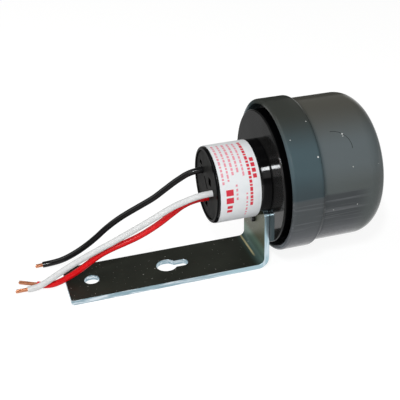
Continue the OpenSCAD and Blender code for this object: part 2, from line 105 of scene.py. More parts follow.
class Nodes:
    """A node tree, with short calls for the nodes that are put into it."""

    def __init__(self, tree: bpy.types.NodeTree, coordinates: str) -> None:
        """Starts on a tree, with patterns that follow the texture coordinates of this name."""
        self.tree = tree
        self.place = self.node("ShaderNodeTexCoord").outputs[coordinates]

    def node(self, kind: str, **settings: Any) -> bpy.types.Node:
        """Adds a node.

        Args:
            kind: Blender's name for the type of node.
            settings: Properties to set on it.

        Returns:
            The new node.
        """
        made = self.tree.nodes.new(kind)
        for key, value in settings.items():
            setattr(made, key, value)
        return made

    def feed(self, target: Socket, source: Any) -> None:
        """Links a socket to a socket, or sets it to a constant.

        Args:
            target: Input that takes the value.
            source: Output socket, number, colour or vector.
        """
        if isinstance(source, bpy.types.NodeSocket):
            self.tree.links.new(source, target)
        elif target.type == "RGBA":
            target.default_value = (*source, 1.0)
        else:
            target.default_value = source

    def axes(self) -> list[Socket]:
        """Splits the coordinates.

        Returns:
            The distances along X, Y and Z.
        """
        split = self.node("ShaderNodeSeparateXYZ")
        self.feed(split.inputs["Vector"], self.place)
        return list(split.outputs)

    def vector(self, operation: str, other: Point) -> Socket:
        """Adds one vector node that works on the coordinates.

        Args:
            operation: Blender's name for the operation.
            other: Its second operand.

        Returns:
            The result, a number.
        """
        made = self.node("ShaderNodeVectorMath", operation=operation)
        self.feed(made.inputs[0], self.place)
        made.inputs[1].default_value = other
        return made.outputs["Value"]

    def noise(self, grain: Grain) -> Socket:
        """Adds fractal noise.

        Args:
            grain: Its settings.

        Returns:
            The noise as a factor.
        """
        mapping = self.node("ShaderNodeMapping")
        self.feed(mapping.inputs["Vector"], self.place)
        mapping.inputs["Scale"].default_value = grain.stretch
        made = self.node("ShaderNodeTexNoise")
        self.feed(made.inputs["Vector"], mapping.outputs["Vector"])
        made.inputs["Scale"].default_value = 1.0 / (grain.size_mm * MM)
        made.inputs["Detail"].default_value = grain.detail
        made.inputs["Roughness"].default_value = grain.rough
        return made.outputs["Fac"]

    def ramp(self, factor: Socket, stops: Stops) -> Socket:
        """Colours a factor.

        Args:
            factor: Value from 0 to 1.
            stops: Positions and their colours, in rising order.

        Returns:
            The colour.
        """
        made = self.node("ShaderNodeValToRGB")
        self.feed(made.inputs["Fac"], factor)
        elements = made.color_ramp.elements
        while len(elements) < len(stops):
            elements.new(0.5)
        for element, (position, colour) in zip(elements, stops):
            element.position = position
            element.color = (*colour, 1.0)
        return made.outputs["Color"]

    def mix(self, factor: Any, first: Any, second: Any) -> Socket:
        """Mixes two colours.

        Args:
            factor: Share of the second colour.
            first: Colour or socket.
            second: Colour or socket.

        Returns:
            The mixed colour.
        """
        made = self.node("ShaderNodeMix", data_type="RGBA")
        self.feed(made.inputs["Factor"], factor)
        colours = [slot for slot in made.inputs if slot.type == "RGBA"]
        self.feed(colours[0], first)
        self.feed(colours[1], second)
        return next(slot for slot in made.outputs if slot.type == "RGBA")

    def math(self, operation: str, *values: Any, clamp: bool = False) -> Socket:
        """Adds one math node.

        Args:
            operation: Blender's name for the operation.
            values: Its operands.
            clamp: Whether to hold the result between 0 and 1.

        Returns:
            The result.
        """
        made = self.node("ShaderNodeMath", operation=operation, use_clamp=clamp)
        for slot, value in zip(made.inputs, values):
            self.feed(slot, value)
        return made.outputs["Value"]

    def product(self, first: Any, *others: Any) -> Socket:
        """Multiplies factors.

        Args:
            first: Socket or number.
            others: Sockets or numbers.

        Returns:
            The product.
        """
        for other in others:
            first = self.math("MULTIPLY", first, other)
        return first

    def off(self, value: Socket, centre_mm: float) -> Socket:
        """Gives how far a distance is from a place, to either side."""
        return self.math("ABSOLUTE", self.math("SUBTRACT", value, centre_mm * MM))

    def span(self, factor: Socket, low: float, high: float) -> Socket:
        """Spreads a factor over a range.

        Args:
            factor: Value from 0 to 1.
            low: Result at 0.
            high: Result at 1.

        Returns:
            The spread value.
        """
        made = self.node("ShaderNodeMapRange")
        self.feed(made.inputs["Value"], factor)
        made.inputs["To Min"].default_value = low
        made.inputs["To Max"].default_value = high
        return made.outputs["Result"]

    def step(self, value: Socket, start: float, stop: float, unit: float = MM,
             kind: str = "SMOOTHSTEP") -> Socket:
        """Gives a factor that goes from 0 to 1 between two values.

        Args:
            value: Distance or other number that is followed.
            start: Where the factor is 0.
            stop: Where it is 1.
            unit: Unit of start and stop, which is the millimetre unless it is given.
            kind: Blender's name for the interpolation.

        Returns:
            The factor.
        """
        made = self.node("ShaderNodeMapRange", interpolation_type=kind)
        self.feed(made.inputs["Value"], value)
        made.inputs["From Min"].default_value = start * unit
        made.inputs["From Max"].default_value = stop * unit
        return made.outputs["Result"]


class Shading(Nodes):
    """A material with one principled shader."""

    def __init__(self, name: str) -> None:
        """Starts an empty material.

        Args:
            name: Name of the material.
        """
        self.material = bpy.data.materials.new(name)
        self.material.use_nodes = True
        super().__init__(self.material.node_tree, "Object")
        self.shader = self.tree.nodes["Principled BSDF"]

    def surface(self, **inputs: Any) -> None:
        """Feeds the principled shader, with underscores for the spaces in its inputs' names."""
        for key, value in inputs.items():
            self.feed(self.shader.inputs[key.replace("_", " ")], value)

    def bump(self, height: Socket, depth_mm: float, strength: float) -> None:
        """Gives the surface relief.

        Args:
            height: Relief from 0 to 1.
            depth_mm: Depth of the relief.
            strength: Share of it that shows.
        """
        made = self.node("ShaderNodeBump")
        made.inputs["Strength"].default_value = strength
        made.inputs["Distance"].default_value = depth_mm * MM
        self.feed(made.inputs["Height"], height)
        self.feed(self.shader.inputs["Normal"], made.outputs["Normal"])


@dataclass(frozen=True)
class Finish:
    """Cloudy colour, uneven roughness and a fine relief, with the numbers of moulded plastic.

    Where no wear is given, the roughness varies over a share of the clouds' size.
    """

    name: str
    colour: Colour
    cloud: Colour
    roughness: float
    specular: float = 0.3
    clouds: Grain = Grain(14.0, 4.0)
    stops: Flat = (0.3, 0.75)
    wear: Grain | None = None
    wear_range: Flat = (0.75, 1.3)
    relief: Grain = Grain(0.6, 2.0)
    depth_mm: float = 0.004
    strength: float = 1.0
    metallic: float = 0.0
    wear_finer: float = 3.0
    wear_detail: float = 5.0
    wear_rough: float = 0.65

    def tint(self, shading: Shading) -> Socket:
        """Gives the colour of the surface."""
        return shading.ramp(shading.noise(self.clouds), list(zip(self.stops, (self.colour, self.cloud))))

    def shine(self, shading: Shading) -> Any:
        """Gives the level of the reflections."""
        return self.specular

    def build(self) -> bpy.types.Material:
        """Makes the material.

        Returns:
            The new material.
        """
        shading = Shading(self.name)
        wear = self.wear or Grain(self.clouds.size_mm / self.wear_finer, self.wear_detail, self.wear_rough)
        rough = [share * self.roughness for share in self.wear_range]
        shading.surface(
            Base_Color=self.tint(shading),
            Metallic=self.metallic,
            Roughness=shading.span(shading.noise(wear), *rough),
            Specular_IOR_Level=self.shine(shading),
        )
        shading.bump(shading.noise(self.relief), self.depth_mm, self.strength)
        return shading.material


@dataclass(frozen=True)
class Plastic(Finish):
    """Moulded plastic."""


@dataclass(frozen=True)
class Insulation(Finish):
    """Extruded wire insulation, with faint lines along the lead."""

    clouds: Grain = Grain(9.0, 1.5)
    stops: Flat = (0.3, 0.8)
    wear: Grain | None = Grain(0.9, 2.0, 0.5, (0.05, 1.0, 1.0))
    wear_range: Flat = (0.9, 1.15)
    relief: Grain = Grain(9.0, 1.5)
    depth_mm: float = 0.02
    strength: float = 0.4


@dataclass(frozen=True)
class BareMetal(Finish):
    """Copper, brass or screw steel, with a little tarnish."""

    specular: float = 0.5
    clouds: Grain = Grain(1.8, 4.0)
    stops: Flat = (0.35, 0.8)
    wear: Grain | None = Grain(1.8, 4.0)
    wear_range: Flat = (0.8, 1.3)
    relief: Grain = Grain(0.3, 2.0)
    metallic: float = 1.0


@dataclass(frozen=True)
class Paper(Finish):
    """Coated label paper or the ink on it, with fibres and uneven coverage."""

    clouds: Grain = Grain(4.0, 4.0)
    stops: Flat = (0.3, 0.8)
    wear: Grain | None = Grain(0.25)
    wear_range: Flat = (0.8, 1.2)
    relief: Grain = Grain(0.25)
    depth_mm: float = 0.005
    strength: float = 0.5


@dataclass(frozen=True)
class SmokedShell(Finish):
    """Smoke-grey plastic of the cover, with painted reflections and shade, specks and one thin scratch.

    The first colour is the collar's and the second the cap's; the collar's bluish slate against the cap's
    paler olive is a painted reflection on one plastic. Each pair of places runs from where a
    change starts to where it is full, along the axis of the part's frame that it is used with.
    """

    name: str = "smoked_shell"
    # Painted reflection: the collar's bluish slate and the cap's paler olive stand for what each reflects.
    colour: Colour = (0.066, 0.1, 0.114)
    cloud: Colour = (0.12, 0.138, 0.145)
    roughness: float = 0.1
    specular: float = 0.12
    clouds: Grain = Grain(26.0)
    wear: Grain | None = Grain(9.0, 5.0, 0.65)
    wear_range: Flat = (0.7, 1.5)
    relief: Grain = Grain(18.0, 2.0)
    depth_mm: float = 0.03
    strength: float = 0.25
    between: Colour = (0.093, 0.119, 0.1295)
    between_share: float = 0.3
    # Painted shade: the collar and the cap darken below the middle.
    collar_low_shade: Colour = (0.036, 0.053, 0.061)
    cap_low_shade: Colour = (0.09, 0.1, 0.098)
    # Painted dark reflection on the top of the collar and the cap.
    collar_crest_reflection: Colour = (0.044, 0.047, 0.042)
    cap_crest_reflection: Colour = (0.08, 0.077, 0.066)
    # Painted reflections low on the near side: a band, darker on the cap, paler and bluer towards the
    # bottom.
    collar_band_reflection: Colour = (0.074, 0.082, 0.087)
    cap_band_reflection: Colour = (0.057, 0.063, 0.067)
    belly_reflection: Colour = (0.118, 0.122, 0.14)
    streak: Colour = (0.16, 0.165, 0.175)
    streak_share: float = 0.6
    streaks: Grain = Grain(1.5, 3.0, 0.6, (0.03, 1.0, 1.0))
    streak_cut: Flat = (0.48, 0.72)
    speck: Colour = (0.6, 0.61, 0.6)
    scratch: Colour = (0.012, 0.014, 0.014)
    turn_mm: Flat = (122.0, 125.5)
    crest_reflection_mm: Flat = (78.0, 94.0)
    low_shade_mm: Flat = (72.0, 57.0)
    belly_reflection_mm: Flat = (46.0, 14.0)
    band_x_mm: Flat = (153.0, 141.0)
    band_y_mm: Flat = (4.0, -14.0)
    band_z_mm: Flat = (56.5, 54.5)
    crown_mm: Flat = (158.5, 163.5)
    shoulder_x_mm: float = 122.8
    shoulder_mm: Flat = (1.5, 3.0)
    shoulder_gloss: float = 0.04
    dull_y_mm: Flat = (-6.0, 5.0)
    dull_z_mm: Flat = (78.0, 85.0)
    dull_front_mm: Flat = (157.0, 159.5)
    dull_front: float = 0.85
    specks: tuple[tuple[Point, float], ...] = (
        ((138.7, -26.8, 83.0), 0.45), ((138.7, -27.8, 82.1), 0.32), ((120.9, -35.9, 76.3), 0.5),
        ((120.4, -19.8, 90.3), 0.3), ((108.0, -28.2, 84.8), 0.28), ((140.8, -38.0, 68.1), 0.3),
        ((156.7, -37.1, 67.0), 0.3), ((143.1, -41.3, 46.5), 0.26), ((129.0, -41.1, 45.5), 0.26))
    scratch_centre: Point = (132.2, -32.4, 77.6)
    scratch_r_mm: float = 10.2
    scratch_half_mm: float = 0.13
    scratch_drop_mm: float = 1.0

    def tint(self, shading: Shading) -> Socket:
        """Lays the collar's and the cap's colours, the painted reflections and shade, the scratch and the
        specks.

        Args:
            shading: Material that takes the nodes.

        Returns:
            The colour.
        """
        along, across, height = shading.axes()
        # The change from the collar's colour to the cap's at the shoulder is a painted reflection.
        cap = shading.step(along, *self.turn_mm)
        clouds = shading.span(shading.noise(self.clouds), 0.0, self.between_share)
        # Painted shade on the lower half of the collar and the cap.
        low_shade = shading.step(height, *self.low_shade_mm)
        body = shading.mix(cap, shading.mix(low_shade, self.colour, self.collar_low_shade),
                           shading.mix(low_shade, self.cloud, self.cap_low_shade))
        body = shading.mix(clouds, body, self.between)
        # Painted dark reflection on the top.
        crest = shading.mix(cap, self.collar_crest_reflection, self.cap_crest_reflection)
        body = shading.mix(shading.step(height, *self.crest_reflection_mm), body, crest)
        # Painted reflections on the near side below the middle: a band that pales towards the bottom, with
        # light streaks.
        under = shading.mix(cap, self.collar_band_reflection, self.cap_band_reflection)
        under = shading.mix(shading.step(height, *self.belly_reflection_mm), under, self.belly_reflection)
        lines = shading.step(shading.noise(self.streaks), *self.streak_cut, unit=1.0)
        under = shading.mix(shading.span(lines, 0.0, self.streak_share), under, self.streak)
        band = shading.product(shading.step(height, *self.band_z_mm), shading.step(across, *self.band_y_mm),
                               shading.step(along, *self.band_x_mm))
        body = shading.mix(band, body, under)
        crown = shading.mix(clouds, self.cloud, self.between)
        body = shading.mix(shading.step(along, *self.crown_mm), body, crown)
        body = shading.mix(self.scratched(shading, along, height), body, self.scratch)
        return shading.mix(self.specked(shading), body, self.speck)

    def shine(self, shading: Shading) -> Any:
        """Turns the gloss down at the shoulder, on the far side of the top and on the crown's front.

        Args:
            shading: Material that takes the nodes.

        Returns:
            The level of the reflections.
        """
        along, across, height = shading.axes()
        clear = shading.step(shading.off(along, self.shoulder_x_mm), *self.shoulder_mm)
        gloss = shading.span(clear, self.shoulder_gloss, self.specular)
        top = shading.product(shading.step(height, *self.dull_z_mm), shading.step(across, *self.dull_y_mm))
        front = shading.product(shading.step(along, *self.dull_front_mm), self.dull_front)
        return shading.product(gloss, shading.span(shading.math("MAXIMUM", top, front), 1.0, 0.0))

    def near(self, shading: Shading, centre: Point) -> Socket:
        """Gives the distance from a point of the part."""
        return shading.vector("DISTANCE", tuple(value * MM for value in centre))

    def specked(self, shading: Shading) -> Socket:
        """Marks the specks.

        Args:
            shading: Material that takes the nodes.

        Returns:
            A factor, 1 on a speck.
        """
        total: Any = 0.0
        for centre, radius in self.specks:
            mark = shading.math("LESS_THAN", self.near(shading, centre), radius * MM)
            total = shading.math("ADD", total, mark, clamp=True)
        return total

    def scratched(self, shading: Shading, along: Socket, height: Socket) -> Socket:
        """Marks the curved scratch.

        Args:
            shading: Material that takes the nodes.
            along: Distance along X.
            height: Distance along Z.

        Returns:
            A factor, 1 on the scratch.
        """
        ring = shading.off(self.near(shading, self.scratch_centre), self.scratch_r_mm)
        line = shading.math("LESS_THAN", ring, self.scratch_half_mm * MM)
        ahead = shading.math("GREATER_THAN", along, self.scratch_centre[0] * MM)
        above = shading.math("GREATER_THAN", height, (self.scratch_centre[2] - self.scratch_drop_mm) * MM)
        return shading.product(line, ahead, above)


@dataclass(frozen=True)
class RolledSteel(Finish):
    """Strip steel, whose gloss and relief follow the lines that rolling leaves."""

    clouds: Grain = Grain(22.0, 4.0)
    stops: Flat = (0.35, 0.7)
    wear: Grain | None = ROLLED
    wear_range: Flat = (0.7, 1.4)
    relief: Grain = ROLLED


@dataclass(frozen=True)
class StripFace(RolledSteel):
    """Passivated strip face with fine dust, a painted crease highlight, and painted reflections darkening
    the foot and grading the upright.
    """

    name: str = "strip_face"
    # The foot's dark tone is partly the passivated coat and partly a painted dark reflection.
    colour: Colour = (0.022, 0.024, 0.019)
    cloud: Colour = (0.032, 0.035, 0.027)
    roughness: float = 0.4
    specular: float = 0.2
    strength: float = 0.5
    metallic: float = 0.3
    # Painted reflection on the upright, graded by height: darker near the bend, green-grey in the middle,
    # warm olive at the top.
    rise: tuple[tuple[float, Colour], ...] = (
        (0.0, (0.085, 0.15, 0.138)), (0.5, (0.24, 0.37, 0.29)), (0.85, (0.17, 0.165, 0.1)))
    rise_clouds: float = 0.4
    rise_mm: Flat = (4.0, 17.0)
    turn_mm: Flat = (92.0, 99.0)
    # Painted highlight along the inside of the bend, broken up by noise.
    crease_highlight: Colour = (0.95, 0.8, 0.42)
    crease_x_mm: float = 96.0
    crease_mm: Flat = (0.8, 0.0)
    crease_y_mm: Flat = (-9.0, -4.0)
    crease_breakup: Grain = Grain(3.0, 4.0)
    crease_range: Flat = (0.2, 1.0)
    dust: Colour = (0.5, 0.5, 0.46)
    dust_grains: Grain = Grain(1.1, 2.0, 0.4)
    dust_cut: float = 0.74

    def tint(self, shading: Shading) -> Socket:
        """Lays the coat's colours with the painted reflections on the foot and the upright, the painted
        crease highlight and the dust.

        Args:
            shading: Material that takes the nodes.

        Returns:
            The colour.
        """
        along, across, height = shading.axes()
        # Painted reflections: the upright takes a tone graded by height, unlike the foot.
        rise = shading.ramp(shading.step(height, *self.rise_mm, kind="LINEAR"), self.rise)
        patches = shading.span(shading.noise(self.clouds), 0.0, self.rise_clouds)
        upright = shading.mix(patches, rise, self.rise[0][1])
        body = shading.mix(shading.step(along, *self.turn_mm), super().tint(shading), upright)
        # Painted highlight along the crease.
        line = shading.product(shading.step(shading.off(along, self.crease_x_mm), *self.crease_mm),
                               shading.step(across, *self.crease_y_mm),
                               shading.span(shading.noise(self.crease_breakup), *self.crease_range))
        body = shading.mix(line, body, self.crease_highlight)
        grains = shading.math("GREATER_THAN", shading.noise(self.dust_grains), self.dust_cut)
        return shading.mix(grains, body, self.dust)


@dataclass(frozen=True)
class PlatedStrip(RolledSteel):
    """Sheared edge of plated steel: bright metal with rolled lines, a painted sheen towards the upright and
    long streaks that are partly shear marks and partly painted highlights.
    """

    name: str = "sheared_edge"
    colour: Colour = (0.23, 0.34, 0.4)
    cloud: Colour = (0.32, 0.44, 0.49)
    roughness: float = 0.3
    specular: float = 0.5
    depth_mm: float = 0.006
    strength: float = 0.6
    metallic: float = 1.0
    # Painted sheen: the edge lightens towards the upright.
    painted_sheen: Colour = (0.38, 0.53, 0.59)
    painted_sheen_mm: Flat = (58.0, 84.0)
    # Light streaks, partly shear marks and partly painted highlights, fading along the strip.
    glint: Colour = (0.82, 0.87, 0.92)
    glint_mm: Flat = (20.0, 70.0)
    glint_share: Flat = (0.7, 0.4)
    foot_streaks: Grain = Grain(1.2, 3.0, 0.6, (0.08, 1.0, 1.0))
    upright_streaks: Grain = Grain(1.2, 3.0, 0.6, (1.0, 1.0, 0.08))
    upright_mm: Flat = (96.0, 98.4)
    streak_cut: Flat = (0.47, 0.6)

    def tint(self, shading: Shading) -> Socket:
        """Lays the plating's colours, the painted sheen and the streaks with their painted highlights.

        Args:
            shading: Material that takes the nodes.

        Returns:
            The colour.
        """
        along = shading.axes()[0]
        # Painted sheen towards the upright.
        body = shading.mix(shading.step(along, *self.painted_sheen_mm), super().tint(shading), self.painted_sheen)
        lines = shading.mix(shading.step(along, *self.upright_mm), shading.noise(self.foot_streaks),
                            shading.noise(self.upright_streaks))
        # The streaks are partly shear marks and partly painted highlights.
        share = shading.span(shading.step(along, *self.glint_mm), *self.glint_share)
        streaks = shading.product(shading.step(lines, *self.streak_cut, unit=1.0), share)
        return shading.mix(streaks, body, self.glint)


@dataclass(frozen=True)
class PolishedBlack(Finish):
    """Black plastic whose gloss rises and ends along one direction, with a painted shade along X."""

    wear: Grain | None = Grain(5.0, 5.0, 0.65)
    depth_mm: float = 0.003
    direction: Point = (1.0, 0.0, 0.0)
    fade_mm: Flat = (0.0, 1.0)
    stop_mm: Flat = (1.0, 2.0)
    stop_share: float = 1.0
    gloss: Flat = (0.0, 0.5)
    # Painted shade: a stretch along X turned near black, with its gloss taken away.
    gap_shade_mm: Flat | None = None
    gap_shade: Colour = (0.001, 0.001, 0.0012)

    def tint(self, shading: Shading) -> Socket:
        """Lays the black and the painted shade, where there is one.

        Args:
            shading: Material that takes the nodes.

        Returns:
            The colour.
        """
        body = super().tint(shading)
        if self.gap_shade_mm is None:
            return body
        return shading.mix(shading.step(shading.axes()[0], *self.gap_shade_mm), body, self.gap_shade)

    def shine(self, shading: Shading) -> Any:
        """Raises the gloss along the direction and ends it.

        Args:
            shading: Material that takes the nodes.

        Returns:
            The level of the reflections.
        """
        reach = shading.vector("DOT_PRODUCT", self.direction)
        ended = shading.span(shading.step(reach, *self.stop_mm), 0.0, self.stop_share)
        polish = shading.math("SUBTRACT", shading.step(reach, *self.fade_mm), ended)
        if self.gap_shade_mm is not None:
            polish = shading.product(polish, shading.step(shading.axes()[0], *self.gap_shade_mm[::-1]))
        return shading.span(polish, *self.gloss)


@dataclass(frozen=True)
class StemAxis:
    """The line that the stem, the flange and the cover share."""

    x: float
    z: float

    def at(self, u: float, v: float, h: float) -> Vector:
        """Gives the place of a point of the stem's frame in the part's frame, in metres."""
        return Vector(((self.x + h) * MM, u * MM, (self.z + v) * MM))

    def round(self, r: float, angle: float, h: float) -> Vector:
        """Gives the place of a point by radius, angle in degrees and distance along the stem."""
        turn = math.radians(angle)
        return self.at(r * math.cos(turn), r * math.sin(turn), h)


def arc(centre: Flat, radius: float, start: float, stop: float, steps: int) -> list[Flat]:
    """Gives the points of an arc from one angle to another, in degrees, both ends included."""
    turns = [math.radians(start + (stop - start) * i / steps) for i in range(steps + 1)]
    return [(centre[0] + radius * math.cos(t), centre[1] + radius * math.sin(t)) for t in turns]


def sides_of(ahead: Vector) -> tuple[Vector, Vector]:
    """Gives the level direction to the right of a direction, and the one upright to both."""
    side = ahead.cross(UP).normalized()
    return side, side.cross(ahead)


def in_scene(name: str, data: bpy.types.ID) -> bpy.types.Object:
    """Puts a new object into the scene.

    Args:
        name: Its name.
        data: Its mesh, curve, camera or lamp.

    Returns:
        The object.
    """
    made = bpy.data.objects.new(name, data)
    bpy.context.scene.collection.objects.link(made)
    return made


def stand(name: str, data: bpy.types.ID, position: Point, sides: tuple[Vector, ...]) -> bpy.types.Object:
    """Stands a camera or a lamp in the scene.

    Args:
        name: Its name.
        data: Its camera or lamp.
        position: Its place, in millimetres.
        sides: Its directions to the right, up and back.

    Returns:
        The object.
    """
    made = in_scene(name, data)
    made.matrix_world = Matrix.Translation(Vector(position) * MM) @ Matrix(sides).transposed().to_4x4()
    return made


def add_object(name: str, mesh: bpy.types.Mesh, materials: Sequence[bpy.types.Material],
               sharp_deg: float = 35.0) -> bpy.types.Object:
    """Puts a mesh into the scene, smooth apart from its sharp edges.

    Args:
        name: Name of the piece.
        mesh: Its mesh.
        materials: Its material slots.
        sharp_deg: Angle from which an edge stays sharp.

    Returns:
        The new object.
    """
    for material in materials:
        mesh.materials.append(material)
    mesh.shade_smooth()
    mesh.set_sharp_from_angle(angle=math.radians(sharp_deg))
    return in_scene(name, mesh)


def mesh_from(name: str, build: bmesh.types.BMesh) -> bpy.types.Mesh:
    """Closes a bmesh into a mesh with outward faces.

    Args:
        name: Name of the mesh.
        build: The bmesh, which is freed.

    Returns:
        The mesh.
    """
    bmesh.ops.recalc_face_normals(build, faces=build.faces)
    mesh = bpy.data.meshes.new(name)
    build.to_mesh(mesh)
    build.free()
    return mesh


def bridge(build: bmesh.types.BMesh, rings: Sequence[Sequence[bmesh.types.BMVert]], capped: bool) -> None:
    """Joins each ring of points to the next. A ring of one point is a pole.

    Args:
        build: Bmesh that takes the faces.
        rings: The rings in order.
        capped: Whether the first and the last ring are closed by a face.
    """
    for first, second in zip(rings, rings[1:]):
        count = max(len(first), len(second))
        for i in range(count if count > 1 else 0):
            j = (i + 1) % count
            corners = [first[i % len(first)], first[j % len(first)]]
            corners += [second[j % len(second)], second[i % len(second)]]
            build.faces.new(list(dict.fromkeys(corners)))
    if capped:
        build.faces.new(rings[0])
        build.faces.new(rings[-1][::-1])


def lathe(name: str, axis: StemAxis, outline: Sequence[Flat], segments: int) -> bpy.types.Mesh:
    """Turns a closed outline round the stem's axis.

    Args:
        name: Name of the mesh.
        axis: The stem's axis.
        outline: Radius and distance along, in order. Points on the axis become poles.
        segments: Number of steps round the axis.

    Returns:
        The turned mesh.
    """
    build = bmesh.new()
    rings: list[list[bmesh.types.BMVert]] = []
    for r, h in outline:
        count = segments if r > POLE_MM else 1
        rings.append([build.verts.new(axis.round(r, 360.0 * i / segments, h)) for i in range(count)])
    bridge(build, rings + rings[:1], capped=False)
    return mesh_from(name, build)


def plate(name: str, outlines: Sequence[Sequence[Flat]], thickness: float, bevel: float) -> bpy.types.Mesh:
    """Cuts a flat plate with rounded edges from an outline and its holes.

    Args:
        name: Name of the mesh.
        outlines: The outer outline, then the holes, in millimetres.
        thickness: Height of the plate, from zero up.
        bevel: Radius that rounds its edges.

    Returns:
        The plate in millimetres, in its own flat frame.
    """
    curve = bpy.data.curves.new(name, "CURVE")
    curve.dimensions = "2D"
    curve.fill_mode = "BOTH"
    curve.extrude = thickness / 2.0 - bevel
    curve.bevel_depth = bevel
    curve.bevel_resolution = EDGE_STEPS
    curve.offset = -bevel
    for outline in outlines:
        spline = curve.splines.new("POLY")
        spline.points.add(len(outline) - 1)
        for point, (x, y) in zip(spline.points, outline):
            point.co = (x, y, 0.0, 1.0)
        spline.use_cyclic_u = True
    helper = in_scene(name, curve)
    evaluated = helper.evaluated_get(bpy.context.evaluated_depsgraph_get())
    mesh = bpy.data.meshes.new_from_object(evaluated)
    bpy.data.objects.remove(helper)
    bpy.data.curves.remove(curve)
    build = bmesh.new()
    build.from_mesh(mesh)
    bpy.data.meshes.remove(mesh)
    bmesh.ops.remove_doubles(build, verts=build.verts, dist=WELD_MM)
    for vert in build.verts:
        vert.co.z += thickness / 2.0
    return mesh_from(name, build)


def sweep(build: bmesh.types.BMesh, path: Sequence[Vector], radius: float, sides: int) -> None:
    """Adds a closed round rod along a path.

    Args:
        build: Bmesh that takes it.
        path: Points of its centre line, in metres.
        radius: Its radius, in metres.
        sides: Number of its sides.
    """
    turns = [2.0 * math.pi * k / sides for k in range(sides)]
    rings: list[list[bmesh.types.BMVert]] = []
    for i, point in enumerate(path):
        side, up = sides_of((path[min(i + 1, len(path) - 1)] - path[max(i - 1, 0)]).normalized())
        places = [point + radius * (math.cos(t) * side + math.sin(t) * up) for t in turns]
        rings.append([build.verts.new(place) for place in places])
    bridge(build, rings, capped=True)


@dataclass(frozen=True)
class PhotoCamera:
    """Camera at the photograph's place, in millimetres of the part's frame and degrees."""

    position: Point = (-50.72, -397.01, 268.1)
    azimuth: float = 16.35
    elevation: float = 28.62
    roll: float = -1.79
    focal_px: float = 831.0
    sensor_mm: float = 36.0
    clip_m: Flat = (0.01, 100.0)

    def build(self) -> bpy.types.Object:
        """Makes the camera and hands it to the scene.

        Returns:
            The camera.
        """
        az, el, roll = (math.radians(a) for a in (self.azimuth, self.elevation, self.roll))
        ahead = Vector((math.sin(az) * math.cos(el), math.cos(az) * math.cos(el), -math.sin(el)))
        level, upright = sides_of(ahead)
        right = math.cos(roll) * level + math.sin(roll) * upright
        up = math.cos(roll) * upright - math.sin(roll) * level
        data = bpy.data.cameras.new("photo_camera")
        data.sensor_width = self.sensor_mm
        data.lens = self.focal_px / FRAME_PX * data.sensor_width
        data.clip_start, data.clip_end = self.clip_m
        camera = stand("photo_camera", data, self.position, (right, up, -ahead))
        bpy.context.scene.camera = camera
        return camera


@dataclass(frozen=True)
class Lamp:
    """Soft rectangular lamp, aimed at a point, with its first side along X."""

    name: str
    position: Point
    target: Point
    size: Flat
    watts: float
    colour: Colour = WHITE

    def build(self) -> bpy.types.Object:
        """Makes the lamp.

        Returns:
            The lamp.
        """
        data = bpy.data.lights.new(self.name, "AREA")
        data.shape = "RECTANGLE"
        data.size = self.size[0] * MM
        data.size_y = self.size[1] * MM
        data.energy = self.watts
        data.color = self.colour
        back = (Vector(self.position) - Vector(self.target)).normalized()
        along = Vector((1.0, 0.0, 0.0))
        side = (along - along.dot(back) * back).normalized()
        return stand(self.name, data, self.position, (side, back.cross(side), back))


